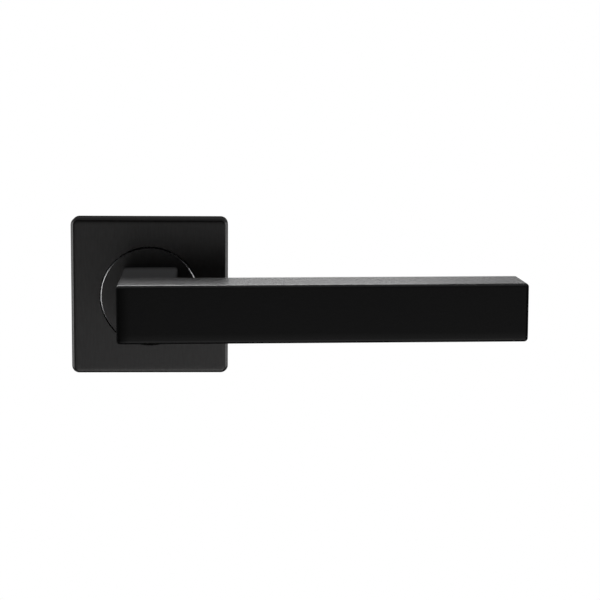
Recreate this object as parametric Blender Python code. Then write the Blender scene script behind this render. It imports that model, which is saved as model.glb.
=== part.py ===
"""Door lever handle on a square clip-on rose: one side of the door, as separate pieces.

Metres, +Z up. The origin is on the spindle axis, at the surface of the door: +Y goes into the
door, -Y comes out of it, and the lever points to +X. A turn about +Y presses the lever down.
"""

import math

import bmesh
import bpy
from mathutils import Matrix, Vector

MM = 0.001
GAP = 0.3 * MM                # clearance that touching pieces keep

# lever: a square bar, seen from the front, on a square neck
LEVER_END = 125.8 * MM        # free end, from the spindle axis
LEVER_RISE = 0.4              # degrees that the free end stands above level at rest
LEVER_TOP = 9.35 * MM
LEVER_BOTTOM = -9.9 * MM
LEVER_FRONT = -54.0 * MM
LEVER_DEPTH = 21.6 * MM
LEVER_EDGE = 0.9 * MM         # radius of its long edges
NECK_LEFT = -9.2 * MM
NECK_RIGHT = 10.1 * MM
NECK_HALF_HEIGHT = 10.3 * MM  # at the collar, where the neck flares
NECK_STATIONS = 5

# rose cover: a square shell with a round hole
ROSE_SIZE = 55.0 * MM
ROSE_DEPTH = 10.0 * MM
ROSE_WALL = 1.3 * MM
ROSE_CORNER = 2.6 * MM
ROSE_EDGE = 0.9 * MM
ROSE_HOLE = 17.4 * MM
PRISE_NOTCH = (7.0 * MM, 1.6 * MM)  # width and depth of the notch that a blade lifts it by

# collar: the round disc at the foot of the neck, a little proud of the rose
COLLAR_RADIUS = 17.05 * MM
COLLAR_THICKNESS = 1.7 * MM
COLLAR_PROUD = 0.3 * MM
COLLAR_BEVEL = 0.35 * MM

# journal: the round shaft behind the neck, flatted where it drives the collar and the cam
JOURNAL_RADIUS = 8.0 * MM
JOURNAL_FLAT = 7.0 * MM       # each flat's distance from the axis
JOURNAL_END = 2.5 * MM
GROOVE_RADIUS = 7.0 * MM

# spindle and its grub screw
SPINDLE_SIDE = 8.0 * MM
SPINDLE_FRONT = -28.0 * MM
SPINDLE_BACK = 62.0 * MM
GRUB_PLACE = -21.0 * MM
GRUB_RADIUS = 2.9 * MM
GRUB_SOCKET = 1.7 * MM        # corner radius of its hexagon socket

# base plate
PLATE_HALF = 25.2 * MM
PLATE_CORNER = 1.4 * MM
PLATE_FLOOR = 2.4 * MM
PLATE_HEIGHT = 7.0 * MM
RIM_WALL = 1.5 * MM
HOUSING_INNER = 13.5 * MM
HOUSING_OUTER = 15.0 * MM
HUB_RADIUS = 11.2 * MM
HUB_BORE = 9.6 * MM
HUB_FRONT = -6.2 * MM
RECESS_RADIUS = 10.2 * MM
RECESS_DEPTH = 3.2 * MM
RIB = 1.2 * MM

# what the plate holds
BUSH_WALL = 1.0 * MM
BUSH_FLANGE = 11.0 * MM
FLANGE_THICKNESS = 0.5 * MM
CAM_RADIUS = 14.0 * MM
CAM_THICKNESS = 1.0 * MM
CAM_LUG_RADIUS = 16.8 * MM
CAM_LUG_HALF = 1.8 * MM
TURN = 45.0                   # degrees, from level to fully down
PIN_RADIUS = 1.25 * MM
PIN_CIRCLE = 16.1 * MM

# fixings
BOLT_SPACING = 38.0 * MM
BOLT_RADIUS = 1.95 * MM
BOLT_HEAD = (3.4 * MM, 2.2 * MM)
BOLT_END = 42.0 * MM
SUPPORT_LUG = (3.9 * MM, 7.0 * MM)
SCREW_PLACE = 19.6 * MM
SCREW_RADIUS = 1.75 * MM
SCREW_HEAD = 3.3 * MM
SCREW_END = 20.0 * MM

# return spring
WIRE = 0.6 * MM               # radius
COIL_RADIUS = 12.2 * MM
COIL_TURNS = 2.25
COIL_BACK = -3.2 * MM
COIL_PITCH = 1.35 * MM
TANG_ANGLE = 150.0            # degrees from +Z towards +X, where the fixed tang leaves

# planes that stack up from the front of the rose to the plate
ROSE_FRONT = -ROSE_DEPTH
COLLAR_FRONT = ROSE_FRONT - COLLAR_PROUD
COLLAR_BACK = COLLAR_FRONT + COLLAR_THICKNESS
CAM_FRONT = COLLAR_BACK + GAP
CAM_BACK = CAM_FRONT + CAM_THICKNESS
NECK_END = COLLAR_FRONT - GAP
RECESS_FACE = -RECESS_DEPTH

ROUND = 64
SMALL = 24

COLOURS = {
    "satin_black": ((0.012, 0.012, 0.013), 0.42, 0.3),
    "bright_edge": ((0.02, 0.02, 0.022), 0.30, 0.6),
    "zinc": ((0.42, 0.43, 0.45), 0.45, 0.9),
    "zinc_plate": ((0.60, 0.61, 0.63), 0.30, 1.0),
    "steel": ((0.45, 0.46, 0.48), 0.28, 1.0),
    "dark_steel": ((0.05, 0.05, 0.055), 0.40, 0.9),
    "nylon": ((0.75, 0.74, 0.70), 0.50, 0.0),
}


def remove_everything():
    for item in list(bpy.data.objects):
        bpy.data.objects.remove(item)


def material(name):
    found = bpy.data.materials.get(name)
    if found:
        return found
    colour, roughness, metallic = COLOURS[name]
    made = bpy.data.materials.new(name)
    made.use_nodes = True
    shader = made.node_tree.nodes["Principled BSDF"]
    shader.inputs["Base Color"].default_value = (*colour, 1.0)
    shader.inputs["Roughness"].default_value = roughness
    shader.inputs["Metallic"].default_value = metallic
    return made


def place(name, mesh, finish, parent=None, turn=0.0):
    """A named object, turned about the spindle axis by so many degrees."""
    item = bpy.data.objects.new(name, mesh)
    bpy.context.collection.objects.link(item)
    if not mesh.materials:
        mesh.materials.append(material(finish))
    item.rotation_euler = (0.0, math.radians(turn), 0.0)
    item.parent = parent
    mesh.shade_smooth()
    mesh.set_sharp_from_angle(angle=math.radians(35))
    return item


def close_mesh(name, bm):
    """The mesh of a bmesh, with its faces turned outwards."""
    bmesh.ops.recalc_face_normals(bm, faces=bm.faces)
    mesh = bpy.data.meshes.new(name)
    bm.to_mesh(mesh)
    bm.free()
    return mesh


def prism(outline, back, front):
    """A straight solid along Y, on an outline of (x, z) points."""
    bm = bmesh.new()
    face = bm.faces.new([bm.verts.new((x, front, z)) for x, z in outline])
    grown = bmesh.ops.extrude_face_region(bm, geom=[face], use_keep_orig=True)
    moved = [v for v in grown["geom"] if isinstance(v, bmesh.types.BMVert)]
    bmesh.ops.translate(bm, vec=(0.0, back - front, 0.0), verts=moved)
    return close_mesh("prism", bm)


def turned(profile, steps=ROUND, closed=False):
    """A solid turned about the Y axis. Profile points are (radius, y); a closed one is a ring."""
    bm = bmesh.new()
    angles = [math.tau * (i + 0.5) / steps for i in range(steps)]
    rings = [[bm.verts.new((radius * math.sin(a), y, radius * math.cos(a))) for a in angles]
             for radius, y in profile]
    for near, far in zip(rings, rings[1:] + rings[:1] if closed else rings[1:]):
        for i in range(steps):
            j = (i + 1) % steps
            bm.faces.new((near[i], near[j], far[j], far[i]))
    if not closed:
        bm.faces.new(rings[0])
        bm.faces.new(rings[-1])
    return close_mesh("turned", bm)


def ring(inner, outer, front, back, steps=ROUND):
    """A flat ring or a plain tube about the Y axis."""
    return turned([(inner, front), (outer, front), (outer, back), (inner, back)], steps, True)


def rod(radius, front, back, steps=ROUND):
    """A plain round bar about the Y axis."""
    return turned([(radius, front), (radius, back)], steps)


def rounded_square(half, corner, steps=6):
    """Corner arcs of a square outline, as (x, z) points."""
    points = []
    for quarter in range(4):
        middle = math.radians(45 + 90 * quarter)
        x = math.copysign(half - corner, math.cos(middle))
        z = math.copysign(half - corner, math.sin(middle))
        for i in range(steps + 1):
            a = math.radians(90 * quarter + 90 * i / steps)
            points.append((x + corner * math.cos(a), z + corner * math.sin(a)))
    return points


def box_outline(half_x, half_z):
    return [(half_x, half_z), (-half_x, half_z), (-half_x, -half_z), (half_x, -half_z)]


def polygon(radius, sides):
    return [(radius * math.sin(math.tau * i / sides), radius * math.cos(math.tau * i / sides))
            for i in range(sides)]


def two_flats(radius, flat, steps=16):
    """A circle with a flat at the top and one at the bottom, as (x, z) points."""
    reach = math.asin(flat / radius)
    right = [-reach + 2 * reach * i / steps for i in range(steps + 1)]
    points = [(radius * math.cos(a), radius * math.sin(a)) for a in right]
    return points + [(-x, -z) for x, z in points]


def moved(mesh, x=0.0, y=0.0, z=0.0):
    mesh.transform(Matrix.Translation((x, y, z)))
    return mesh


def combine(base, operation, tools):
    """The mesh left when each tool is joined to the base, or cut from it."""
    body = bpy.data.objects.new("body", base)
    bpy.context.collection.objects.link(body)
    helpers = []
    for tool in tools:
        helper = bpy.data.objects.new("helper", tool)
        bpy.context.collection.objects.link(helper)
        helpers.append(helper)
        step = body.modifiers.new(operation, "BOOLEAN")
        step.operation = operation
        step.solver = "EXACT"
        step.object = helper
    graph = bpy.context.evaluated_depsgraph_get()
    result = bpy.data.meshes.new_from_object(body.evaluated_get(graph))
    for item in [body] + helpers:
        bpy.data.objects.remove(item)
    return result


def cut(base, *tools):
    return combine(base, "DIFFERENCE", tools)


def join(base, *tools):
    return combine(base, "UNION", tools)


def on_circle(radius, degrees):
    """(x, z) at an angle from +Z towards +X."""
    a = math.radians(degrees)
    return radius * math.sin(a), radius * math.cos(a)


# --- lever body ---------------------------------------------------------------------------

def journal():
    """Journal with its circlip groove and, in front, the two flats that drive the cam."""
    groove_front = -1.1 * MM - GAP
    groove_back = -0.1 * MM + GAP
    chamfer = 0.6 * MM
    shaft = turned([
        (JOURNAL_RADIUS, NECK_END - 4 * MM), (JOURNAL_RADIUS, groove_front),
        (GROOVE_RADIUS, groove_front), (GROOVE_RADIUS, groove_back),
        (JOURNAL_RADIUS, groove_back), (JOURNAL_RADIUS, JOURNAL_END - chamfer),
        (JOURNAL_RADIUS - chamfer, JOURNAL_END),
    ], 48)
    slab = box_outline(JOURNAL_RADIUS + GAP, 1.5 * MM)
    flats = [moved(prism(slab, CAM_BACK + GAP, NECK_END), z=side * (JOURNAL_FLAT + 1.5 * MM))
             for side in (1, -1)]
    return cut(shaft, *flats)


def bar_and_neck():
    """The L-shaped bar: a corner block with the lever grown from one side, the neck from another."""
    bm = bmesh.new()
    corner_back = LEVER_FRONT + LEVER_DEPTH
    bmesh.ops.create_cube(bm, size=1.0)
    for v in bm.verts:
        v.co.x = NECK_RIGHT if v.co.x > 0 else NECK_LEFT
        v.co.y = corner_back if v.co.y > 0 else LEVER_FRONT
        v.co.z = LEVER_TOP if v.co.z > 0 else LEVER_BOTTOM
    bm.faces.ensure_lookup_table()
    towards_end = max(bm.faces, key=lambda f: f.calc_center_median().x)
    towards_door = max(bm.faces, key=lambda f: f.calc_center_median().y)

    grown = bmesh.ops.extrude_discrete_faces(bm, faces=[towards_end])["faces"][0]
    bmesh.ops.translate(bm, vec=(LEVER_END - NECK_RIGHT, 0.0, 0.0), verts=grown.verts)
    for i in range(1, NECK_STATIONS + 1):
        along = i / NECK_STATIONS
        flare = along ** 1.6
        towards_door = bmesh.ops.extrude_discrete_faces(bm, faces=[towards_door])["faces"][0]
        for v in towards_door.verts:
            v.co.y = corner_back + (NECK_END - corner_back) * along
            if v.co.z > 0:
                v.co.z = LEVER_TOP + (NECK_HALF_HEIGHT - LEVER_TOP) * flare
            else:
                v.co.z = LEVER_BOTTOM - (NECK_HALF_HEIGHT + LEVER_BOTTOM) * flare

    bm.normal_update()
    sharp = [e for e in bm.edges
             if len(e.link_faces) == 2 and e.calc_face_angle() > math.radians(30)
             and not all(abs(v.co.y - NECK_END) < 0.01 * MM for v in e.verts)]
    bmesh.ops.bevel(bm, geom=sharp, offset=LEVER_EDGE, segments=3, affect="EDGES", profile=0.5,
                    clamp_overlap=True)
    bmesh.ops.rotate(bm, matrix=Matrix.Rotation(math.radians(-LEVER_RISE), 3, "Y"), verts=bm.verts)
    return close_mesh("bar_and_neck", bm)


def make_lever(axis):
    side = SPINDLE_SIDE / 2 + GAP
    socket = prism(box_outline(side, side), JOURNAL_END + MM, SPINDLE_FRONT - GAP)
    grub_hole = rod(GRUB_RADIUS + GAP, 0.0, 12 * MM, SMALL)
    grub_hole.transform(Matrix.Rotation(-math.pi / 2, 4, "X"))
    blank = join(bar_and_neck(), journal())
    place("lever", cut(blank, socket, moved(grub_hole, y=GRUB_PLACE)), "satin_black", axis)


def make_collar(axis):
    disc = turned([
        (COLLAR_RADIUS - COLLAR_BEVEL, COLLAR_FRONT), (COLLAR_RADIUS, COLLAR_FRONT + COLLAR_BEVEL),
        (COLLAR_RADIUS, COLLAR_BACK),
    ])
    hole = prism(two_flats(JOURNAL_RADIUS + GAP, JOURNAL_FLAT + GAP),
                 COLLAR_BACK + MM, COLLAR_FRONT - MM)
    place("neck_collar", cut(disc, hole), "bright_edge", axis)


def make_cam(axis):
    """Stamped plate with its stop lug half a turn short of the top, and a hole for the tang."""
    rest = -TURN / 2
    half_width = math.degrees(CAM_LUG_HALF / CAM_LUG_RADIUS)
    start = rest + math.degrees(CAM_LUG_HALF / CAM_RADIUS)
    sweep = 360 - 2 * (start - rest)
    outline = [on_circle(CAM_RADIUS, start + sweep * i / ROUND) for i in range(ROUND + 1)]
    outline += [on_circle(CAM_LUG_RADIUS, rest - half_width),
                on_circle(CAM_LUG_RADIUS, rest),
                on_circle(CAM_LUG_RADIUS, rest + half_width)]
    blank = prism(outline, CAM_BACK, CAM_FRONT)
    keyed = prism(two_flats(JOURNAL_RADIUS + GAP, JOURNAL_FLAT + GAP),
                  CAM_BACK + MM, CAM_FRONT - MM)
    x, z = on_circle(COIL_RADIUS, tang_angles()[1])
    tang_hole = moved(rod(WIRE + GAP, CAM_FRONT - MM, CAM_BACK + MM, 12), x=x, z=z)
    place("spring_cam", cut(blank, keyed, tang_hole), "steel", axis)


def make_circlip(axis):
    """Open retaining ring, with an eye at each end."""
    inner = GROOVE_RADIUS + GAP
    outer = 9.0 * MM
    half_gap = 22.0
    steps = 30
    sweep = 360 - 2 * half_gap
    angles = [180 + half_gap + sweep * i / steps for i in range(steps + 1)]
    outside = [on_circle(outer, a) for a in angles]
    inside = [on_circle(inner, a) for a in reversed(angles)]
    clip = prism(outside + inside, -0.1 * MM, -1.1 * MM)
    eyes = []
    holes = []
    for side in (1, -1):
        x, z = on_circle(8.6 * MM, 180 + side * half_gap)
        eyes.append(moved(rod(1.25 * MM, -1.1 * MM, -0.1 * MM, 16), x=x, z=z))
        holes.append(moved(rod(0.55 * MM, -2 * MM, MM, 12), x=x, z=z))
    place("circlip", cut(join(clip, *eyes), *holes), "dark_steel", axis)


def make_spindle(axis):
    """Square bar with its ends chamfered."""
    half = SPINDLE_SIDE / 2
    bm = bmesh.new()
    bmesh.ops.create_cube(bm, size=1.0)
    for v in bm.verts:
        v.co.x = math.copysign(half, v.co.x)
        v.co.y = SPINDLE_BACK if v.co.y > 0 else SPINDLE_FRONT
        v.co.z = math.copysign(half, v.co.z)
    ends = [e for e in bm.edges if e.verts[0].co.y == e.verts[1].co.y]
    bmesh.ops.bevel(bm, geom=ends, offset=0.8 * MM, segments=1, affect="EDGES", profile=0.5)
    place("spindle", close_mesh("spindle", bm), "zinc_plate", axis)


def make_grub_screw(axis):
    """Set screw in the underside of the neck, with its point on the spindle."""
    bottom = -9.4 * MM
    top = -SPINDLE_SIDE / 2 - GAP
    body = turned([
        (GRUB_RADIUS - 0.4 * MM, bottom), (GRUB_RADIUS, bottom + 0.4 * MM),
        (GRUB_RADIUS, top - 1.0 * MM), (1.6 * MM, top),
    ], SMALL)
    socket = prism(polygon(GRUB_SOCKET, 6), bottom + 2.6 * MM, bottom - MM)
    mesh = cut(body, socket)
    mesh.transform(Matrix.Rotation(math.pi / 2, 4, "X"))
    place("grub_screw", moved(mesh, y=GRUB_PLACE), "dark_steel", axis)


# --- cover --------------------------------------------------------------------------------

def make_cover(slide):
    half = ROSE_SIZE / 2
    rear = -0.2 * MM
    bm = bmesh.new()
    bm.from_mesh(prism(rounded_square(half, ROSE_CORNER), rear, ROSE_FRONT))
    front = [e for e in bm.edges if all(v.co.y < ROSE_FRONT + GAP for v in e.verts)]
    bmesh.ops.bevel(bm, geom=front, offset=ROSE_EDGE, segments=3, affect="EDGES", profile=0.5)
    inside = prism(rounded_square(half - ROSE_WALL, ROSE_CORNER - ROSE_WALL),
                   MM, ROSE_FRONT + ROSE_WALL)
    hole = rod(ROSE_HOLE, ROSE_FRONT - MM, 0.0)
    width, depth = PRISE_NOTCH
    notch = moved(prism(box_outline(width / 2, 3 * MM), MM, -depth), z=-half)
    place("rose_cover", cut(close_mesh("shell", bm), inside, hole, notch), "satin_black", slide)


# --- base plate and what it holds ---------------------------------------------------------

def stop_pins():
    """Name and (x, z) of each dowel, a clearance away from the lug at its end of the turn."""
    reach = math.degrees(math.asin((CAM_LUG_HALF + PIN_RADIUS + GAP) / PIN_CIRCLE))
    angle = TURN / 2 + reach
    return [("stop_pin_rest", on_circle(PIN_CIRCLE, -angle)),
            ("stop_pin_open", on_circle(PIN_CIRCLE, angle))]


def tang_angles():
    """Angles at which the spring's fixed and moving tangs stand."""
    return TANG_ANGLE, TANG_ANGLE + 360 * COIL_TURNS


def make_base_plate():
    walls = prism(rounded_square(PLATE_HALF, PLATE_CORNER), 0.0, -PLATE_HEIGHT)
    tray = prism(rounded_square(PLATE_HALF - RIM_WALL, 0.5 * MM),
                 -PLATE_FLOOR, -PLATE_HEIGHT - MM)
    plate = cut(walls, tray)

    root = -PLATE_FLOOR + 0.4 * MM
    rib_front = -4.8 * MM
    lug_radius, lug_length = SUPPORT_LUG
    solids = [ring(HOUSING_INNER, HOUSING_OUTER, -PLATE_HEIGHT, root),
              rod(HUB_RADIUS, HUB_FRONT, root)]
    for side in (1, -1):
        boss_and_lug = turned([
            (4.9 * MM, -5.4 * MM), (4.9 * MM, root), (lug_radius, root),
            (lug_radius, lug_length),
        ], SMALL)
        solids.append(moved(boss_and_lug, x=side * BOLT_SPACING / 2))
        solids.append(moved(rod(4.3 * MM, -5.0 * MM, root, SMALL), z=side * SCREW_PLACE))
    for _, (x, z) in stop_pins():
        solids.append(moved(rod(2.5 * MM, -6.6 * MM, root, SMALL), x=x, z=z))
    for turn in (45, 135, 225, 315):
        strip = [(RIB / 2, 14.3 * MM), (-RIB / 2, 14.3 * MM), (-RIB / 2, 34.0 * MM),
                 (RIB / 2, 34.0 * MM)]
        rib = prism(strip, root, rib_front)
        rib.transform(Matrix.Rotation(math.radians(turn), 4, "Y"))
        solids.append(rib)
    plate = join(plate, *solids)

    cuts = [rod(HUB_BORE, HUB_FRONT - MM, MM), rod(RECESS_RADIUS, RECESS_FACE, MM)]
    head_radius, head_height = BOLT_HEAD
    for side in (1, -1):
        bore = turned([
            (head_radius + GAP, -8 * MM), (head_radius + GAP, -3.0 * MM),
            (BOLT_RADIUS + GAP, -3.0 * MM), (BOLT_RADIUS + GAP, 9 * MM),
        ], SMALL)
        cuts.append(moved(bore, x=side * BOLT_SPACING / 2))
        cuts.append(moved(countersink(), z=side * SCREW_PLACE))
    for _, (x, z) in stop_pins():
        cuts.append(moved(rod(PIN_RADIUS + GAP, -8 * MM, -1.2 * MM, SMALL), x=x, z=z))
    tang = prism(box_outline(WIRE + GAP, 2 * MM), -2.6 * MM, -PLATE_HEIGHT - MM)
    tang = moved(tang, z=14.3 * MM)
    tang.transform(Matrix.Rotation(math.radians(tang_angles()[0]), 4, "Y"))
    cuts.append(tang)
    place("base_plate", cut(plate, *cuts), "zinc")


def countersink():
    """Cutter for a wood screw's hole and the seat of its head."""
    seat = -3.0 * MM
    wide = SCREW_HEAD + GAP
    narrow = SCREW_RADIUS + GAP
    return turned([(wide, -8 * MM), (wide, seat - (wide - narrow)), (narrow, seat),
                   (narrow, MM)], SMALL)


def make_bush():
    inner = JOURNAL_RADIUS + GAP
    outer = inner + BUSH_WALL
    flange_back = HUB_FRONT - GAP
    flange_front = flange_back - FLANGE_THICKNESS
    profile = [(inner, flange_front), (BUSH_FLANGE, flange_front), (BUSH_FLANGE, flange_back),
               (outer, flange_back), (outer, RECESS_FACE), (inner, RECESS_FACE)]
    place("bearing_bush", turned(profile, ROUND, True), "nylon")


def make_washers():
    inner = JOURNAL_RADIUS + GAP
    outer = RECESS_RADIUS - GAP
    flat = ring(inner, outer, RECESS_FACE + GAP, RECESS_FACE + 0.8 * MM, 48)
    place("thrust_washer", flat, "steel")
    waves = 3
    swing = 0.12 * MM
    spring = ring(inner, outer, -2.0 * MM, -1.75 * MM, 48)
    for v in spring.vertices:
        v.co.y += swing * math.cos(waves * math.atan2(v.co.x, v.co.z))
    place("wave_washer", spring, "steel")


def make_stop_pins():
    for name, (x, z) in stop_pins():
        tip = 0.25 * MM
        front = CAM_FRONT + 0.1 * MM
        back = -1.5 * MM
        pin = turned([(PIN_RADIUS - tip, front), (PIN_RADIUS, front + tip),
                      (PIN_RADIUS, back - tip), (PIN_RADIUS - tip, back)], SMALL)
        place(name, moved(pin, x=x, z=z), "steel")


def make_spring():
    """Torsion spring: a tang out through the housing, the coil, and a tang forward to the cam."""
    fixed, moving = (math.radians(a) for a in tang_angles())
    steps = 30

    def at(radius, angle, y):
        return Vector((radius * math.sin(angle), y, radius * math.cos(angle)))

    path = [at(HOUSING_OUTER + 1.2 * MM, fixed, COIL_BACK), at(COIL_RADIUS + WIRE, fixed, COIL_BACK)]
    count = round(steps * COIL_TURNS)
    for i in range(1, count + 1):
        turn = COIL_TURNS * i / count
        path.append(at(COIL_RADIUS, fixed + math.tau * turn, COIL_BACK - COIL_PITCH * turn))
    end = path[-1]
    path.append(Vector((end.x, end.y - 0.7 * MM, end.z)))
    path.append(Vector((end.x, CAM_FRONT + 0.2 * MM, end.z)))

    curve = bpy.data.curves.new("wire", "CURVE")
    curve.dimensions = "3D"
    curve.bevel_depth = WIRE
    curve.bevel_resolution = 2
    curve.use_fill_caps = True
    spline = curve.splines.new("POLY")
    spline.points.add(len(path) - 1)
    for point, co in zip(spline.points, path):
        point.co = (*co, 1.0)
    guide = bpy.data.objects.new("wire", curve)
    bpy.context.collection.objects.link(guide)
    graph = bpy.context.evaluated_depsgraph_get()
    mesh = bpy.data.meshes.new_from_object(guide.evaluated_get(graph))
    bpy.data.objects.remove(guide)
    bm = bmesh.new()
    bm.from_mesh(mesh)
    bmesh.ops.remove_doubles(bm, verts=bm.verts, dist=0.001 * MM)
    place("return_spring", close_mesh("return_spring", bm), "steel")


def cross_recess(front, depth, reach):
    """Cutter for a cross-shaped driver recess that narrows towards its bottom."""
    arms = []
    for turn in (0, 90):
        bm = bmesh.new()
        bm.from_mesh(prism(box_outline(0.45 * MM, reach), front + depth, front - MM))
        for v in bm.verts:
            if v.co.y > front:
                v.co.z *= 0.55
        arm = close_mesh("arm", bm)
        arm.transform(Matrix.Rotation(math.radians(turn), 4, "Y"))
        arms.append(arm)
    return join(*arms)


def make_fixings():
    head_radius, head_height = BOLT_HEAD
    head_back = -3.0 * MM - 0.15 * MM
    head_front = head_back - head_height
    round_over = 0.6 * MM
    for name, side in (("left", -1), ("right", 1)):
        bolt = turned([
            (head_radius - round_over, head_front), (head_radius, head_front + round_over),
            (head_radius, head_back), (BOLT_RADIUS, head_back),
            (BOLT_RADIUS, BOLT_END - 0.6 * MM), (BOLT_RADIUS - 0.6 * MM, BOLT_END),
        ], SMALL)
        bolt = cut(bolt, cross_recess(head_front, 1.5 * MM, 1.9 * MM))
        place("fixing_bolt_" + name, moved(bolt, x=side * BOLT_SPACING / 2), "zinc_plate")
    neck = -3.0 * MM - 0.15 * MM
    cone = SCREW_HEAD - SCREW_RADIUS
    for name, side in (("upper", 1), ("lower", -1)):
        screw = turned([
            (SCREW_HEAD, neck - cone - 0.3 * MM), (SCREW_HEAD, neck - cone),
            (SCREW_RADIUS, neck), (SCREW_RADIUS, SCREW_END - 6 * MM), (0.2 * MM, SCREW_END),
        ], SMALL)
        screw = cut(screw, cross_recess(neck - cone - 0.3 * MM, 1.5 * MM, 1.8 * MM))
        place("wood_screw_" + name, moved(screw, z=side * SCREW_PLACE), "zinc_plate")


def clip_mesh():
    """Strip bent over the plate's rim, its outer leg bowed to grip the cover."""
    sheet = 0.4 * MM
    inner = PLATE_HALF - RIM_WALL - GAP
    outer = PLATE_HALF + GAP
    top = -PLATE_HEIGHT - GAP
    bow = 0.12 * MM
    # (distance from the axis, y) round the strip, out along its inside and back along its outside
    strip = [(inner, -4.4 * MM), (inner, top), (outer, top), (outer, -5.0 * MM),
             (outer + bow, -4.0 * MM), (outer, -3.0 * MM),
             (outer + sheet, -3.0 * MM), (outer + sheet + bow, -4.0 * MM),
             (outer + sheet, -5.0 * MM), (outer + sheet, top - sheet),
             (inner - sheet, top - sheet), (inner - sheet, -4.4 * MM)]
    width = 8.0 * MM
    offset = 12.5 * MM
    bm = bmesh.new()
    ends = []
    for x in (offset - width / 2, offset + width / 2):
        ends.append([bm.verts.new((x, y, z)) for z, y in strip])
    for loop in ends:
        bm.faces.new(loop)
    for i in range(len(strip)):
        j = (i + 1) % len(strip)
        bm.faces.new((ends[0][i], ends[0][j], ends[1][j], ends[1][i]))
    return close_mesh("clip", bm)


def make_clips():
    mesh = clip_mesh()
    for name, turn in (("upper", 0), ("right", 90), ("lower", 180), ("left", 270)):
        place("cover_clip_" + name, mesh, "steel", turn=turn)


def main():
    remove_everything()
    lever_axis = bpy.data.objects.new("lever_axis", None)
    cover_slide = bpy.data.objects.new("cover_slide", None)
    for empty in (lever_axis, cover_slide):
        bpy.context.collection.objects.link(empty)

    make_lever(lever_axis)
    make_collar(lever_axis)
    make_cam(lever_axis)
    make_circlip(lever_axis)
    make_spindle(lever_axis)
    make_grub_screw(lever_axis)
    make_cover(cover_slide)
    make_base_plate()
    make_bush()
    make_washers()
    make_stop_pins()
    make_spring()
    make_fixings()
    make_clips()


main()
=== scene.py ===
"""Looks of the door lever handle: fine meshes, materials, light and camera around the CAD frame.

Metres, in the CAD frame: the spindle axis is Y, the door's surface is y = 0, the lever points to
+X and the front of the handle faces -Y.
"""

import math

import bmesh
import bpy
from mathutils import Matrix, Vector


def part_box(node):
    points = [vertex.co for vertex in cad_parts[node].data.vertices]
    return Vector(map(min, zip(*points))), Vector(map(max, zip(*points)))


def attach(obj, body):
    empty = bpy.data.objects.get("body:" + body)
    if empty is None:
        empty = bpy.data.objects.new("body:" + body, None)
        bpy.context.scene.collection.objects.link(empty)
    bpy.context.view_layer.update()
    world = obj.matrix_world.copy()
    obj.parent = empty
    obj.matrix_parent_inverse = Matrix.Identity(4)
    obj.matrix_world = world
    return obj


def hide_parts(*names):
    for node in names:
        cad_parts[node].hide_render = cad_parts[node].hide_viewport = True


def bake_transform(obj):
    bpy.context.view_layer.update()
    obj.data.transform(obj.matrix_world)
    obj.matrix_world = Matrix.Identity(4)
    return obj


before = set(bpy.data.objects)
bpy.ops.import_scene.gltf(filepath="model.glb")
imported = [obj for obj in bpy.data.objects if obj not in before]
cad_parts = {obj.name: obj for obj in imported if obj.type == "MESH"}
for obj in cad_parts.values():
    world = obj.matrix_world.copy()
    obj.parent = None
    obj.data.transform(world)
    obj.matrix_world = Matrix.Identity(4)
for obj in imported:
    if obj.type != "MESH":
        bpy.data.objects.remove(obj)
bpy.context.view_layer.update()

MM = 0.001

# Places from the frame
COVER_LOW, COVER_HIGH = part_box("rose_cover")
COLLAR_LOW, COLLAR_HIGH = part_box("neck_collar")
LEVER_LOW, LEVER_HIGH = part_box("lever")
SPINDLE_LOW, SPINDLE_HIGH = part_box("spindle")
ROSE_HALF = COVER_HIGH.x
ROSE_FRONT = COVER_LOW.y
ROSE_BACK = COVER_HIGH.y
LEVER_FRONT = LEVER_LOW.y
JOURNAL_END = LEVER_HIGH.y

# Lever
RISE = math.radians(0.4)      # the free end stands this much above level
BAR_TOP = 9.35 * MM
BAR_BOTTOM = -10.05 * MM
BAR_DEPTH = 21.6 * MM
BAR_EDGE = 1.15 * MM
NECK_LEFT = -9.2 * MM
NECK_RIGHT = 10.1 * MM
NECK_HALF = 10.3 * MM         # at the collar, where the neck is highest
# How the bar's front falls away at its edges: (how far in it starts, how much it falls)
SOFT_LEFT = (4.6 * MM, 0.42 * MM)
SOFT_RIGHT = (2.6 * MM, 0.05 * MM)
SOFT_LOWER = (3.4 * MM, 0.38 * MM)
JOURNAL_RADIUS = 8.0 * MM
JOURNAL_CHAMFER = 0.6 * MM
GROOVE_DEPTH = 1.0 * MM       # for the circlip
GROOVE_FRONT = -1.4 * MM
GROOVE_BACK = 0.2 * MM
GRUB_PLACE = -21.0 * MM
SOCKET_ROOM = 0.15 * MM       # round the spindle and the grub screw

# Rose
# Rim of the cover, from its face to its side: (in from the side, back from the face)
RIM = [(inset * MM, drop * MM) for inset, drop in (
    (2.6, 0.0), (1.8, 0.006), (1.35, 0.03), (1.1, 0.075), (0.95, 0.14), (0.84, 0.25),
    (0.72, 0.46), (0.36, 1.15), (0.18, 1.5), (0.06, 1.8), (0.0, 2.3))]
OUTER_CORNER = 2.6 * MM
HOLE = 17.4 * MM
WALL = 1.3 * MM
HOLE_EDGE = 0.12 * MM         # radius of the hole's front edge
NOTCH_HALF = 3.5 * MM
NOTCH_DEPTH = 1.6 * MM
COLLAR_BEVEL = 0.2 * MM
SIDE_STEPS = 20
CORNER_STEPS = 12

# Machine bolts and wood screws
BOLT_SHAFT = 1.95 * MM
BOLT_HEAD = 2.2 * MM          # its thickness
BOLT_ROUNDING = 1.1 * MM
BOLT_PITCH = 0.7 * MM
BOLT_THREAD = 0.38 * MM       # the thread's depth
SCREW_SHAFT = 1.75 * MM
SCREW_RIM = 0.3 * MM          # straight part of the countersunk head
SCREW_POINT = 5 * MM
SCREW_PITCH = 1.6 * MM
SCREW_THREAD = 0.55 * MM

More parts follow.
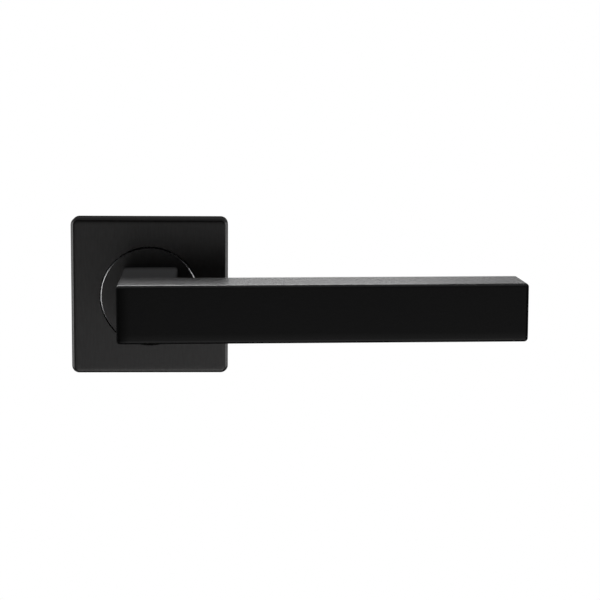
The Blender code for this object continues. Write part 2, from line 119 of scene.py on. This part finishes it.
# Return spring
SPRING_WIRE = 0.6 * MM        # radius of the wire
SPRING_RADIUS = 12.2 * MM
SPRING_TURNS = 2.25
SPRING_PITCH = 1.35 * MM
SPRING_START = math.radians(150)
SPRING_TANG = [radius * MM for radius in (16.2, 14.6, 13.2)]

# Light that comes from each direction, as sums of products of ramps along the direction's own
# X, Y and Z and its distance from the middle plane, "across": (which, from, to, at from, at to)
SIDE_GLOW = (("across", 0.35, 0.8, 0.0, 0.15), ("Z", 0.35, 0.85, 1.0, 0.0),
             ("Y", -0.3, 0.1, 0.0, 1.0))
BACK_GLOW = (("Y", 0.1, 0.6, 0.0, 0.22), ("Z", 0.15, 0.6, 0.1, 1.0))
FRONT_GLOW = (("X", -0.30, -0.06, 0.03, 1.0), ("Y", -0.65, 0.0, 1.0, 0.0),
              ("Z", -0.32, 0.10, 1.3, 0.02), ("Z", -0.75, -0.35, 2.2, 1.0),
              ("X", 0.24, 0.40, 1.0, 1.6), ("X", 0.42, 0.58, 1.0, 0.02))


# --- meshes -------------------------------------------------------------------------------

def finished(name, bm, body, materials, angle=35):
    """Object from a bmesh, shaded smooth between sharp edges and riding on a body."""
    bmesh.ops.recalc_face_normals(bm, faces=bm.faces)
    mesh = bpy.data.meshes.new(name)
    bm.to_mesh(mesh)
    bm.free()
    mesh.shade_smooth()
    mesh.set_sharp_from_angle(angle=math.radians(angle))
    piece = bpy.data.objects.new(name, mesh)
    bpy.context.scene.collection.objects.link(piece)
    for item in materials:
        mesh.materials.append(item)
    if body:
        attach(piece, body)
    return piece


def even_normals(piece):
    """Keeps flat faces flat where they meet their rounded edges."""
    weighted = piece.modifiers.new("even_normals", "WEIGHTED_NORMAL")
    weighted.weight = 100
    weighted.keep_sharp = True


def turned(profile, steps, closed=False):
    """Bmesh of a profile of (radius, y) turned about the Y axis; a closed profile makes a ring."""
    bm = bmesh.new()
    angles = [math.tau * (i + 0.5) / steps for i in range(steps)]
    rings = [[bm.verts.new((r * math.sin(a), y, r * math.cos(a))) for a in angles]
             for r, y in profile]
    for near, far in zip(rings, rings[1:] + rings[:1] if closed else rings[1:]):
        for i in range(steps):
            j = (i + 1) % steps
            bm.faces.new((near[i], near[j], far[j], far[i]))
    if not closed:
        bm.faces.new(rings[0])
        bm.faces.new(rings[-1])
    return bm


def block(low, high):
    """Bmesh of a box between two corners."""
    bm = bmesh.new()
    bmesh.ops.create_cube(bm, size=1.0)
    for v in bm.verts:
        v.co = [high[k] if v.co[k] > 0 else low[k] for k in range(3)]
    return bm


def combine(piece, operation, tools):
    """Applies a Boolean with each tool, a bmesh, to the piece's mesh, and keeps it smooth."""
    helpers = []
    for bm in tools:
        bmesh.ops.recalc_face_normals(bm, faces=bm.faces)
        mesh = bpy.data.meshes.new("tool")
        bm.to_mesh(mesh)
        bm.free()
        helper = bpy.data.objects.new("tool", mesh)
        bpy.context.scene.collection.objects.link(helper)
        helpers.append(helper)
        step = piece.modifiers.new(operation, "BOOLEAN")
        step.operation = operation
        step.solver = "EXACT"
        step.object = helper
    graph = bpy.context.evaluated_depsgraph_get()
    result = bpy.data.meshes.new_from_object(piece.evaluated_get(graph))
    piece.modifiers.clear()
    piece.data = result
    for helper in helpers:
        bpy.data.objects.remove(helper)
    piece.data.shade_smooth()
    piece.data.set_sharp_from_angle(angle=math.radians(35))


def square_loop(half, corner):
    """(x, z) points round a rounded square, evenly along its sides and its corners."""
    points = []
    reach = half - corner
    for quarter in range(4):
        turn = math.radians(90 * quarter)
        c, s = math.cos(turn), math.sin(turn)
        local = [(half, -reach + 2 * reach * i / SIDE_STEPS) for i in range(SIDE_STEPS)]
        for i in range(CORNER_STEPS):
            a = math.radians(90 * i / CORNER_STEPS)
            local.append((reach + corner * math.cos(a), reach + corner * math.sin(a)))
        points += [(x * c - z * s, x * s + z * c) for x, z in local]
    return points


def circle_loop(radius, like):
    """(x, z) points on a circle, at the angles of another loop's points."""
    angles = [math.atan2(z, x) for x, z in like]
    return [(radius * math.cos(a), radius * math.sin(a)) for a in angles]


def arc(steps, start, end):
    """(cosine, sine) of evenly spaced angles, in degrees."""
    angles = [math.radians(start + (end - start) * i / steps) for i in range(steps + 1)]
    return [(math.cos(a), math.sin(a)) for a in angles]


def make_cover(material):
    """Shell of the rose: hole, flat face, rolled rim, side, and the inside of each."""
    base = square_loop(ROSE_HALF, OUTER_CORNER)
    inner_face = ROSE_FRONT + WALL
    loops = [(inner_face, circle_loop(HOLE, base))]
    for c, s in arc(4, 0, 90):
        loops.append((ROSE_FRONT + HOLE_EDGE * (1 - s),
                      circle_loop(HOLE + HOLE_EDGE * (1 - c), base)))
    loops.append((ROSE_FRONT, circle_loop(HOLE + 1.2 * MM, base)))
    for inset, drop in RIM:
        rim_corner = OUTER_CORNER - min(inset, 2.2 * MM)
        loops.append((ROSE_FRONT + drop, square_loop(ROSE_HALF - inset, rim_corner)))
    loops.append((ROSE_BACK - 0.3 * MM, square_loop(ROSE_HALF, OUTER_CORNER)))
    loops.append((ROSE_BACK, square_loop(ROSE_HALF - 0.2 * MM, OUTER_CORNER - 0.2 * MM)))
    inner = ROSE_HALF - WALL
    corner = OUTER_CORNER - WALL
    loops.append((ROSE_BACK, square_loop(inner, corner)))
    loops.append((inner_face + 0.4 * MM, square_loop(inner, corner)))
    loops.append((inner_face, square_loop(inner - 0.4 * MM, corner - 0.4 * MM)))
    bm = bmesh.new()
    rings = [[bm.verts.new((x, y, z)) for x, z in points] for y, points in loops]
    count = len(base)
    for near, far in zip(rings, rings[1:] + rings[:1]):
        for i in range(count):
            j = (i + 1) % count
            bm.faces.new((near[i], near[j], far[j], far[i]))
    cover = finished("rose_cover_fine", bm, "cover", [material])
    notch = block((-NOTCH_HALF, -NOTCH_DEPTH, -ROSE_HALF - MM), (NOTCH_HALF, MM, -inner + MM))
    combine(cover, "DIFFERENCE", [notch])
    even_normals(cover)
    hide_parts("rose_cover")


def make_collar(coat, cut_edge):
    """Disc with its cut bevel, which is the second material."""
    radius = COLLAR_HIGH.x
    inner = JOURNAL_RADIUS + 0.2 * MM
    front = COLLAR_LOW.y
    profile = [(inner, front), (radius - COLLAR_BEVEL - 0.6 * MM, front),
               (radius - COLLAR_BEVEL, front), (radius, front + COLLAR_BEVEL),
               (radius, COLLAR_HIGH.y), (inner, COLLAR_HIGH.y)]
    bm = turned(profile, 256, True)
    for face in bm.faces:
        centre = face.calc_center_median()
        reach = math.hypot(centre.x, centre.z)
        if radius - COLLAR_BEVEL < reach < radius and centre.y < front + COLLAR_BEVEL:
            face.material_index = 1
    collar = finished("neck_collar_fine", bm, "lever", [coat, cut_edge], 30)
    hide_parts("neck_collar")


def soften_front(bm, bar_end):
    """Lets the front of the bar fall away a little towards its left, right and lower edges."""
    edges = ((NECK_LEFT, Vector((1, 0, 0)), SOFT_LEFT), (bar_end, Vector((-1, 0, 0)), SOFT_RIGHT),
             (BAR_BOTTOM, Vector((0, 0, 1)), SOFT_LOWER))
    for place, inward, (reach, drop) in edges:
        on_edge = Vector((place * abs(inward.x), 0, place * inward.z))
        first = 1.2 * BAR_EDGE
        for share in (0.0, 0.25, 0.5, 0.75, 1.0):
            cut = on_edge + inward * (first + (reach - first) * share)
            geometry = bm.verts[:] + bm.edges[:] + bm.faces[:]
            bmesh.ops.bisect_plane(bm, geom=geometry, plane_co=cut, plane_no=inward)
    front = [v for v in bm.verts if v.co.y < LEVER_FRONT + 0.01 * MM]
    for v in front:
        for place, inward, (reach, drop) in edges:
            from_edge = (v.co - Vector((place, 0, place))).dot(inward)
            v.co.y += drop * max(0.0, 1 - from_edge / reach) ** 2


def make_lever(material):
    """L-shaped bar grown from a corner block, with its journal, socket and grub-screw hole."""
    corner_back = LEVER_FRONT + BAR_DEPTH
    bar_end = LEVER_HIGH.x
    bm = block((NECK_LEFT, LEVER_FRONT, BAR_BOTTOM), (NECK_RIGHT, corner_back, BAR_TOP))
    bm.faces.ensure_lookup_table()
    towards_end = max(bm.faces, key=lambda f: f.calc_center_median().x)
    towards_door = max(bm.faces, key=lambda f: f.calc_center_median().y)
    grown = bmesh.ops.extrude_discrete_faces(bm, faces=[towards_end])["faces"][0]
    bmesh.ops.translate(bm, vec=(bar_end - NECK_RIGHT, 0, 0), verts=grown.verts)
    stations = 14
    for i in range(1, stations + 1):
        along = i / stations
        flare = along ** 1.6
        towards_door = bmesh.ops.extrude_discrete_faces(bm, faces=[towards_door])["faces"][0]
        for v in towards_door.verts:
            v.co.y = corner_back + (ROSE_FRONT - corner_back) * along
            if v.co.z > 0:
                v.co.z = BAR_TOP + (NECK_HALF - BAR_TOP) * flare
            else:
                v.co.z = BAR_BOTTOM - (NECK_HALF + BAR_BOTTOM) * flare
    soften_front(bm, bar_end)
    bm.normal_update()
    sharp = [e for e in bm.edges
             if len(e.link_faces) == 2 and e.calc_face_angle() > math.radians(30)
             and not all(abs(v.co.y - ROSE_FRONT) < 0.01 * MM for v in e.verts)]
    bmesh.ops.bevel(bm, geom=sharp, offset=BAR_EDGE, segments=8, affect="EDGES", profile=0.5)
    bmesh.ops.rotate(bm, matrix=Matrix.Rotation(-RISE, 3, "Y"), verts=bm.verts)
    lever = finished("lever_fine", bm, "lever", [material])

    groove = JOURNAL_RADIUS - GROOVE_DEPTH
    journal = turned([
        (JOURNAL_RADIUS, ROSE_FRONT - 4 * MM), (JOURNAL_RADIUS, GROOVE_FRONT),
        (groove, GROOVE_FRONT), (groove, GROOVE_BACK), (JOURNAL_RADIUS, GROOVE_BACK),
        (JOURNAL_RADIUS, JOURNAL_END - JOURNAL_CHAMFER),
        (JOURNAL_RADIUS - JOURNAL_CHAMFER, JOURNAL_END),
    ], 96)
    combine(lever, "UNION", [journal])
    half = SPINDLE_HIGH.x + SOCKET_ROOM
    socket = block((-half, SPINDLE_LOW.y - MM, -half), (half, JOURNAL_END + MM, half))
    hole_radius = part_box("grub_screw")[1].x + SOCKET_ROOM
    hole = turned([(hole_radius, 0), (hole_radius, 12 * MM)], 64)
    bmesh.ops.rotate(hole, matrix=Matrix.Rotation(-math.pi / 2, 3, "X"), verts=hole.verts)
    bmesh.ops.translate(hole, vec=(0, GRUB_PLACE, 0), verts=hole.verts)
    combine(lever, "DIFFERENCE", [socket, hole])
    even_normals(lever)
    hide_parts("lever")


def make_spindle(material):
    """Square bar with chamfered ends and lightly rounded long edges."""
    bm = block(SPINDLE_LOW, SPINDLE_HIGH)
    long_edges = [e for e in bm.edges if abs(e.verts[0].co.y - e.verts[1].co.y) > MM]
    end_edges = [e for e in bm.edges if e not in long_edges]
    bmesh.ops.bevel(bm, geom=end_edges, offset=0.8 * MM, segments=1, affect="EDGES", profile=0.5)
    long_edges = [e for e in bm.edges if abs(e.verts[0].co.y - e.verts[1].co.y) > 10 * MM]
    bmesh.ops.bevel(bm, geom=long_edges, offset=0.3 * MM, segments=3, affect="EDGES", profile=0.5)
    spindle = finished("spindle_fine", bm, "lever", [material])
    even_normals(spindle)
    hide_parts("spindle")


def threaded(outline, start, end, pitch, depth, steps=40):
    """Closed bmesh of a turned profile with a right-hand thread cut between two places along Y.

    The thread's crest is at the profile's own radius and runs out smoothly at both ends."""
    rows = []
    fine = pitch / 10
    for (r0, y0), (r1, y1) in zip(outline, outline[1:]):
        count = max(1, round((y1 - y0) / fine)) if start - fine < y0 < end else 1
        rows += [(r0 + (r1 - r0) * i / count, y0 + (y1 - y0) * i / count) for i in range(count)]
    rows.append(outline[-1])

    def cut(angle, y):
        turn = (y / pitch - angle / math.tau) % 1.0
        inside = min(1.0, max(0.0, (y - start) / pitch), max(0.0, (end - y) / pitch))
        return depth * inside * min(1.0, 2.6 * abs(turn - 0.5) ** 1.15)

    bm = bmesh.new()
    angles = [math.tau * i / steps for i in range(steps)]
    rings = []
    for r, y in rows:
        reach = [max(0.05 * MM, r - cut(a, y)) for a in angles]
        rings.append([bm.verts.new((c * math.sin(a), y, c * math.cos(a)))
                      for a, c in zip(angles, reach)])
    for near, far in zip(rings, rings[1:]):
        for i in range(steps):
            j = (i + 1) % steps
            bm.faces.new((near[i], near[j], far[j], far[i]))
    bm.faces.new(rings[0])
    bm.faces.new(rings[-1])
    return bm


def cross_recess(front, reach):
    """Tapered cross that a screwdriver fits, as two cutters."""
    arms = []
    for turn in (0, 90):
        arm = block((-0.45 * MM, front - MM, -reach), (0.45 * MM, front + 1.5 * MM, reach))
        for v in arm.verts:
            if v.co.y > front:
                v.co.z *= 0.55
        bmesh.ops.rotate(arm, matrix=Matrix.Rotation(math.radians(turn), 3, "Y"), verts=arm.verts)
        arms.append(arm)
    return arms


def make_fixings(material):
    """Machine bolts through the door and screws into it, each with a cut thread."""
    for name in ("fixing_bolt_left", "fixing_bolt_right"):
        low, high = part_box(name)
        head = (high.x - low.x) / 2
        head_back = low.y + BOLT_HEAD
        chamfer = 0.6 * MM
        outline = [(head - BOLT_ROUNDING, low.y)]
        outline += [(head - BOLT_ROUNDING * (1 - s), low.y + BOLT_ROUNDING * (1 - c))
                    for c, s in arc(6, 15, 90)]
        outline += [(head, head_back), (BOLT_SHAFT, head_back), (BOLT_SHAFT, high.y - chamfer),
                    (BOLT_SHAFT - chamfer, high.y)]
        bm = threaded(outline, head_back + 3 * MM, high.y, BOLT_PITCH, BOLT_THREAD)
        place_fixing(name, bm, low, high, 1.9 * MM, material)
    for name in ("wood_screw_upper", "wood_screw_lower"):
        low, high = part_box(name)
        head = (high.x - low.x) / 2
        edge = 0.12 * MM
        neck = low.y + SCREW_RIM + head - SCREW_SHAFT
        outline = [(head - edge, low.y), (head, low.y + edge), (head, low.y + SCREW_RIM),
                   (SCREW_SHAFT, neck), (SCREW_SHAFT, high.y - SCREW_POINT), (0.2 * MM, high.y)]
        bm = threaded(outline, neck + 1.5 * MM, high.y, SCREW_PITCH, SCREW_THREAD)
        place_fixing(name, bm, low, high, 1.8 * MM, material)


def place_fixing(name, bm, low, high, reach, material):
    """Cuts the recess into a bolt or screw and moves it to its place on the plate."""
    fixing = finished(name + "_fine", bm, None, [material])
    combine(fixing, "DIFFERENCE", cross_recess(low.y, reach))
    middle = (low + high) / 2
    fixing.data.transform(Matrix.Translation((middle.x, 0, middle.z)))
    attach(fixing, "root")
    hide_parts(name)


def spring_path(front, back):
    """Middle of the wire: a tang on the plate, the coil, and a tip that reaches to the cam."""
    def at(reach, angle, y):
        return Vector((reach * math.sin(angle), y, reach * math.cos(angle)))

    path = [at(reach, SPRING_START, back) for reach in SPRING_TANG]
    path.append(at(12.5 * MM, SPRING_START + math.radians(1.0), back))
    count = round(48 * SPRING_TURNS)
    for i in range(1, count + 1):
        turn = SPRING_TURNS * i / count
        path.append(at(SPRING_RADIUS, SPRING_START + math.tau * turn, back - SPRING_PITCH * turn))
    end = path[-1]
    along = at(1.0, SPRING_START + math.tau * SPRING_TURNS + math.pi / 2, 0)
    for forward, ahead in ((0.12, 0.35), (0.5, 0.55), (1.1, 0.6)):
        path.append(end + Vector((0, -forward * MM, 0)) + along * ahead * MM)
    tip = path[-1].copy()
    tip.y = front
    path.append(tip)
    return path


def wire(path, radius, around=14):
    """Closed bmesh of a round wire along a path."""
    bm = bmesh.new()
    rings = []
    for i, point in enumerate(path):
        before, after = path[max(i - 1, 0)], path[min(i + 1, len(path) - 1)]
        heading = (after - before).normalized()
        outward = Vector((point.x, 0, point.z)).normalized()
        if abs(heading.dot(outward)) > 0.8:
            outward = Vector((0, -1, 0))
        side = (outward - heading * outward.dot(heading)).normalized()
        other = heading.cross(side)
        rings.append([bm.verts.new(point + radius * (side * math.cos(a) + other * math.sin(a)))
                      for a in (math.tau * k / around for k in range(around))])
    for near, far in zip(rings, rings[1:]):
        for i in range(around):
            j = (i + 1) % around
            bm.faces.new((near[i], near[j], far[j], far[i]))
    bm.faces.new(rings[0])
    bm.faces.new(rings[-1])
    return bm


def make_spring(material):
    """Torsion spring whose coil winds up between the plate and the turning cam."""
    low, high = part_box("return_spring")
    back = high.y - SPRING_WIRE
    bm = wire(spring_path(low.y, back), SPRING_WIRE)
    spring = finished("return_spring_fine", bm, None, [material], 50)
    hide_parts("return_spring")
    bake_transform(spring)


# --- materials ----------------------------------------------------------------------------

class Shader:
    """A Principled material with its object coordinates at hand."""

    def __init__(self, name, metallic=0.0, specular=0.5):
        self.material = bpy.data.materials.new(name)
        self.material.use_nodes = True
        self.tree = self.material.node_tree
        self.surface = self.tree.nodes["Principled BSDF"]
        self.surface.inputs["Metallic"].default_value = metallic
        self.surface.inputs["Specular IOR Level"].default_value = specular
        self.place = self.node("ShaderNodeTexCoord").outputs["Object"]

    def node(self, kind, **settings):
        made = self.tree.nodes.new(kind)
        for key, value in settings.items():
            setattr(made, key, value)
        return made

    def link(self, out, into):
        self.tree.links.new(out, into)

    def noise(self, scale, detail=2.0, stretch=None):
        """Noise in object space; stretch scales the coordinates first, for brushed grain."""
        where = self.place
        if stretch:
            mapping = self.node("ShaderNodeMapping")
            mapping.inputs["Scale"].default_value = stretch
            self.link(where, mapping.inputs["Vector"])
            where = mapping.outputs["Vector"]
        made = self.node("ShaderNodeTexNoise")
        made.inputs["Scale"].default_value = scale
        made.inputs["Detail"].default_value = detail
        self.link(where, made.inputs["Vector"])
        return made.outputs["Fac"]

    def spread(self, value, low, high, start=0.3, stop=0.7):
        """Maps the middle of a noise onto low to high."""
        made = self.node("ShaderNodeMapRange")
        made.inputs["From Min"].default_value = start
        made.inputs["From Max"].default_value = stop
        made.inputs["To Min"].default_value = low
        made.inputs["To Max"].default_value = high
        self.link(value, made.inputs["Value"])
        return made.outputs["Result"]

    def colour(self, value, low, high):
        ramp = self.node("ShaderNodeValToRGB")
        ramp.color_ramp.elements[0].position = 0.3
        ramp.color_ramp.elements[0].color = (*low, 1.0)
        ramp.color_ramp.elements[1].position = 0.7
        ramp.color_ramp.elements[1].color = (*high, 1.0)
        self.link(value, ramp.inputs["Fac"])
        self.link(ramp.outputs["Color"], self.surface.inputs["Base Color"])

    def roughness(self, value, low, high):
        self.link(self.spread(value, low, high), self.surface.inputs["Roughness"])

    def bump(self, *layers):
        """Stacks (height, depth in metres) layers of bump."""
        normal = None
        for height, depth in layers:
            made = self.node("ShaderNodeBump")
            made.inputs["Strength"].default_value = 1.0
            made.inputs["Distance"].default_value = depth
            self.link(height, made.inputs["Height"])
            if normal:
                self.link(normal, made.inputs["Normal"])
            normal = made.outputs["Normal"]
        self.link(normal, self.surface.inputs["Normal"])


def satin_black(name, dark, light, rough_low, rough_high, specular, grain, stretch=None):
    """Fine powder coat: a pebbled skin over a smooth casting; stretch draws its grain out."""
    s = Shader(name, specular=specular)
    s.colour(s.noise(1700.0, 3.0, stretch), dark, light)
    s.roughness(s.noise(900.0, 3.0), rough_low, rough_high)
    s.bump((s.noise(2600.0, 2.0), grain), (s.noise(60.0, 1.0), 0.000003))
    return s.material


def metal(name, low, high, rough_low, rough_high, grain=None, depth=0.000004):
    """Bare or plated metal; grain stretches its noise along the machining marks."""
    s = Shader(name, metallic=1.0)
    s.colour(s.noise(120.0, 3.0), low, high)
    s.roughness(s.noise(700.0, 3.0, grain), rough_low, rough_high)
    s.bump((s.noise(1500.0, 2.0, grain), depth))
    return s.material


def nylon(name):
    """Natural nylon, slightly translucent."""
    s = Shader(name)
    s.surface.inputs["Subsurface Weight"].default_value = 0.15
    s.surface.inputs["Subsurface Radius"].default_value = (0.002, 0.002, 0.0018)
    s.colour(s.noise(200.0, 2.0), (0.66, 0.65, 0.60), (0.74, 0.73, 0.69))
    s.roughness(s.noise(500.0, 2.0), 0.40, 0.55)
    s.bump((s.noise(1200.0, 1.0), 0.000006))
    return s.material


# --- studio -------------------------------------------------------------------------------

def make_camera():
    """The photograph's view: from the right of the rose and a little above it."""
    data = bpy.data.cameras.new("camera")
    data.lens = 96.4
    data.sensor_width = 36.0
    camera = bpy.data.objects.new("camera", data)
    bpy.context.scene.collection.objects.link(camera)
    yaw, tilt, roll = (math.radians(a) for a in (3.04, 7.8, 0.46))
    turn = (Matrix.Rotation(-yaw, 4, "Z") @ Matrix.Rotation(math.pi / 2 - tilt, 4, "X")
            @ Matrix.Rotation(roll, 4, "Z"))
    camera.matrix_world = Matrix.Translation((23.1 * MM, -571.1 * MM, 75.7 * MM)) @ turn
    bpy.context.scene.camera = camera


def make_world():
    """Studio light by direction, brightest low in front; the camera itself sees plain white."""
    world = bpy.data.worlds.new("studio")
    bpy.context.scene.world = world
    world.use_nodes = True
    tree = world.node_tree
    tree.nodes.clear()

    def background(strength):
        made = tree.nodes.new("ShaderNodeBackground")
        made.inputs["Color"].default_value = (1, 1, 1, 1)
        made.inputs["Strength"].default_value = strength
        return made

    def ramp(value, start, stop, low, high):
        made = tree.nodes.new("ShaderNodeMapRange")
        made.interpolation_type = "SMOOTHSTEP"
        for key, number in zip(("From Min", "From Max", "To Min", "To Max"),
                               (start, stop, low, high)):
            made.inputs[key].default_value = number
        tree.links.new(value, made.inputs["Value"])
        return made.outputs["Result"]

    def joined(operation, values):
        """One Math node after another, from the first value to the last."""
        total = values[0]
        for value in values[1:]:
            made = tree.nodes.new("ShaderNodeMath")
            made.operation = operation
            tree.links.new(total, made.inputs[0])
            tree.links.new(value, made.inputs[1])
            total = made.outputs[0]
        return total

    where = tree.nodes.new("ShaderNodeTexCoord")
    parts = tree.nodes.new("ShaderNodeSeparateXYZ")
    tree.links.new(where.outputs["Generated"], parts.inputs["Vector"])
    across = tree.nodes.new("ShaderNodeMath")
    across.operation = "ABSOLUTE"
    tree.links.new(parts.outputs["X"], across.inputs[0])
    along = {key: parts.outputs[key] for key in "XYZ"}
    along["across"] = across.outputs[0]
    glows = [joined("MULTIPLY", [ramp(along[key], *numbers) for key, *numbers in ramps])
             for ramps in (SIDE_GLOW, BACK_GLOW, FRONT_GLOW)]

    lit = background(1.0)
    tree.links.new(joined("ADD", glows), lit.inputs["Strength"])
    seen = background(1.0)
    path = tree.nodes.new("ShaderNodeLightPath")
    mix = tree.nodes.new("ShaderNodeMixShader")
    out = tree.nodes.new("ShaderNodeOutputWorld")
    tree.links.new(path.outputs["Is Camera Ray"], mix.inputs[0])
    tree.links.new(lit.outputs[0], mix.inputs[1])
    tree.links.new(seen.outputs[0], mix.inputs[2])
    tree.links.new(mix.outputs[0], out.inputs["Surface"])


def make_light(name, place, target, size, power, receivers, glossy=True):
    """Soft box that lights only the given pieces; without glossy it makes no highlights."""
    data = bpy.data.lights.new(name, "AREA")
    data.shape = "RECTANGLE"
    data.size, data.size_y = size
    data.energy = power
    light = bpy.data.objects.new(name, data)
    bpy.context.scene.collection.objects.link(light)
    light.location = place
    light.rotation_euler = (Vector(target) - Vector(place)).to_track_quat("-Z", "Y").to_euler()
    light.visible_camera = False
    light.visible_glossy = glossy
    lit = bpy.data.collections.new(name)
    for piece in receivers:
        lit.objects.link(piece)
    light.light_linking.receiver_collection = lit


def make_floor():
    """Pale round floor far below the handle, left out of its reflections."""
    bm = bmesh.new()
    bmesh.ops.create_circle(bm, cap_ends=True, segments=96, radius=1.2)
    mesh = bpy.data.meshes.new("floor")
    bm.to_mesh(mesh)
    bm.free()
    floor = bpy.data.objects.new("floor", mesh)
    bpy.context.scene.collection.objects.link(floor)
    floor.location = (0.05, 0.0, -0.6)
    made = bpy.data.materials.new("pale_floor")
    made.use_nodes = True
    shader = made.node_tree.nodes["Principled BSDF"]
    shader.inputs["Base Color"].default_value = (0.86, 0.86, 0.86, 1)
    shader.inputs["Roughness"].default_value = 0.9
    mesh.materials.append(made)
    floor.visible_glossy = False
    return floor


# --- assembly -----------------------------------------------------------------------------

def finish_cad_nodes(finishes):
    """Gives the CAD pieces that stay visible their own materials and smooth shading."""
    for name, material in finishes.items():
        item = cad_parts[name]
        item.data.materials.clear()
        item.data.materials.append(material)
        item.data.shade_smooth()
        item.data.set_sharp_from_angle(angle=math.radians(30))


def main():
    scene = bpy.context.scene
    scene.view_settings.view_transform = "Standard"
    make_camera()
    make_world()
    floor = make_floor()

    lever_coat = satin_black("lever_coat", (0.0040, 0.0040, 0.0041), (0.0052, 0.0052, 0.0053),
                             0.255, 0.27, 0.085, 0.00000015)
    rose_coat = satin_black("rose_coat", (0.0080, 0.0066, 0.0066), (0.0155, 0.0137, 0.0137),
                            0.32, 0.40, 0.515, 0.000010, (1.0, 1.0, 0.12))
    cut_edge = metal("cut_edge", (0.55, 0.55, 0.56), (0.65, 0.65, 0.66), 0.26, 0.34)
    plated = metal("plated", (0.56, 0.57, 0.60), (0.64, 0.65, 0.66), 0.2, 0.34, (1, 0.1, 1))
    zinc = metal("cast_zinc", (0.36, 0.37, 0.39), (0.46, 0.47, 0.49), 0.4, 0.55)
    spring = metal("spring_steel", (0.36, 0.36, 0.37), (0.48, 0.48, 0.49), 0.2, 0.35)
    dark = metal("dark_steel", (0.03, 0.03, 0.033), (0.06, 0.06, 0.063), 0.35, 0.5)
    white_nylon = nylon("natural_nylon")

    make_cover(rose_coat)
    make_collar(rose_coat, cut_edge)
    make_lever(lever_coat)
    make_spindle(plated)
    make_fixings(plated)
    make_spring(spring)
    finishes = {name: plated for name in ("spring_cam", "stop_pin_rest", "stop_pin_open",
                                          "thrust_washer")}
    finishes |= {name: spring for name in ("wave_washer", "cover_clip_upper", "cover_clip_lower",
                                           "cover_clip_left", "cover_clip_right")}
    finishes |= {"base_plate": zinc, "bearing_bush": white_nylon, "circlip": dark,
                 "grub_screw": dark}
    finish_cad_nodes(finishes)

    make_light("on_floor", (0.05, 0.0, 2.0), floor.location, (2.0, 2.0), 100.0, [floor], False)
    pieces = [o for o in scene.objects if o.type == "MESH" and o != floor]
    all_but_cover = [o for o in pieces if o.name != "rose_cover_fine"]
    all_but_rose = [o for o in all_but_cover if o.name != "neck_collar_fine"]
    all_but_lever = [o for o in pieces if o.name != "lever_fine"]
    make_light("left", (-0.8, 0.12, 0.0), (0, 0, 0), (0.8, 0.7), 4.0, all_but_lever)
    make_light("right", (0.8, 0.12, 0.05), (0, 0, 0), (0.8, 0.7), 3.0, all_but_lever)
    make_light("behind_low", (-0.03, 0.7, 0.12), (0.0, -0.04, 0), (0.80, 0.24), 0.33, all_but_cover)
    make_light("behind_high", (-0.12, 0.7, 0.46), (0.0, -0.04, 0), (0.7, 0.26), 7.0, all_but_rose)
    make_light("above", (0.0, 0.05, 0.8), (0, -0.03, 0), (0.6, 0.4), 48.0, all_but_rose, False)


main()
